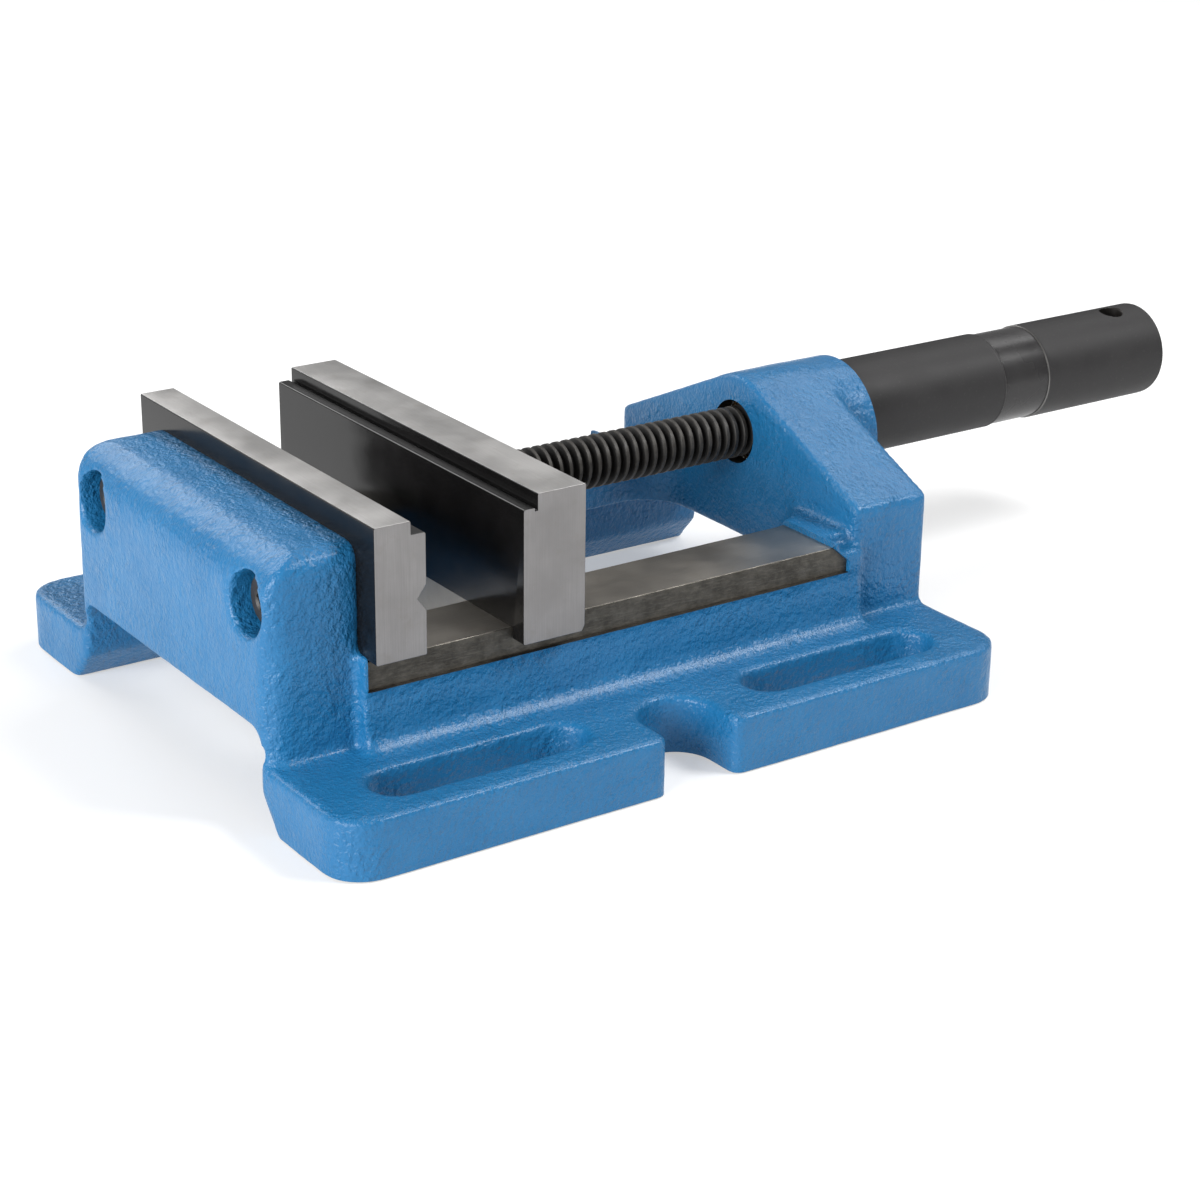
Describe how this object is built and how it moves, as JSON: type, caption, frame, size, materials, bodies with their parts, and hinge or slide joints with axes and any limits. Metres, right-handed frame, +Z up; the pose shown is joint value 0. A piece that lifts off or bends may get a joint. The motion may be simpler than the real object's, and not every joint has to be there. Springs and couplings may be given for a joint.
{
  "type": "drill press vise",
  "caption": "Drill press vise: slotted blue iron casting, ground steel jaws on two rails and a long sleeve-nut handle.",
  "frame": {"origin": "centre of the whole vise's box, on the plane that the feet stand on, with the jaws opened 26.6 mm", "axes": "+X along the screw from the fixed jaw to the handle's end, +Y across the jaws, +Z up"},
  "size_m": [0.324, 0.175, 0.0718],
  "materials": {
    "painted_casting": "gloss enamel over sand-cast iron",
    "ground_steel": "surface ground",
    "blackened_steel": "black oxide",
    "bright_steel": "turned",
    "bronze": "turned bronze"
  },
  "bodies": {
    "base": {"vise_body": "painted_casting", "fixed_jaw_plate": "ground_steel", "fixed_jaw_screw_near": "blackened_steel", "fixed_jaw_screw_far": "blackened_steel", "fixed_jaw_washer_near": "bright_steel", "fixed_jaw_washer_far": "bright_steel", "gland_ring": "bright_steel", "ring_lock_screw": "blackened_steel", "front_thrust_washer": "bright_steel"},
    "jaw": {"moving_jaw": "ground_steel", "guide_block": "ground_steel", "keeper_plate": "blackened_steel", "lead_screw": "blackened_steel", "screw_lock_pin": "bright_steel", "keeper_screw_near": "blackened_steel", "keeper_screw_far": "blackened_steel", "guide_dowel_near": "bright_steel", "guide_dowel_far": "bright_steel"},
    "handle": {"handle_sleeve": "blackened_steel", "drive_nut": "bronze", "drive_nut_pin": "bright_steel", "rear_thrust_washer": "bright_steel"}
  },
  "joints": [
    {"name": "jaw_slide", "type": "slide", "parent": "base", "child": "jaw", "axis": [1, 0, 0], "range_m": [-0.0265, 0.0684]},
    {"name": "handle_spin", "type": "hinge", "parent": "base", "child": "handle", "pos_m": [0.045, 0, 0.0522], "axis": [1, 0, 0], "range_deg": [-3182, 8210]}
  ],
  "couplings": [
    {"joint": "handle_spin", "follows": "jaw_slide", "rad_per_m": 2094.4}
  ]
}
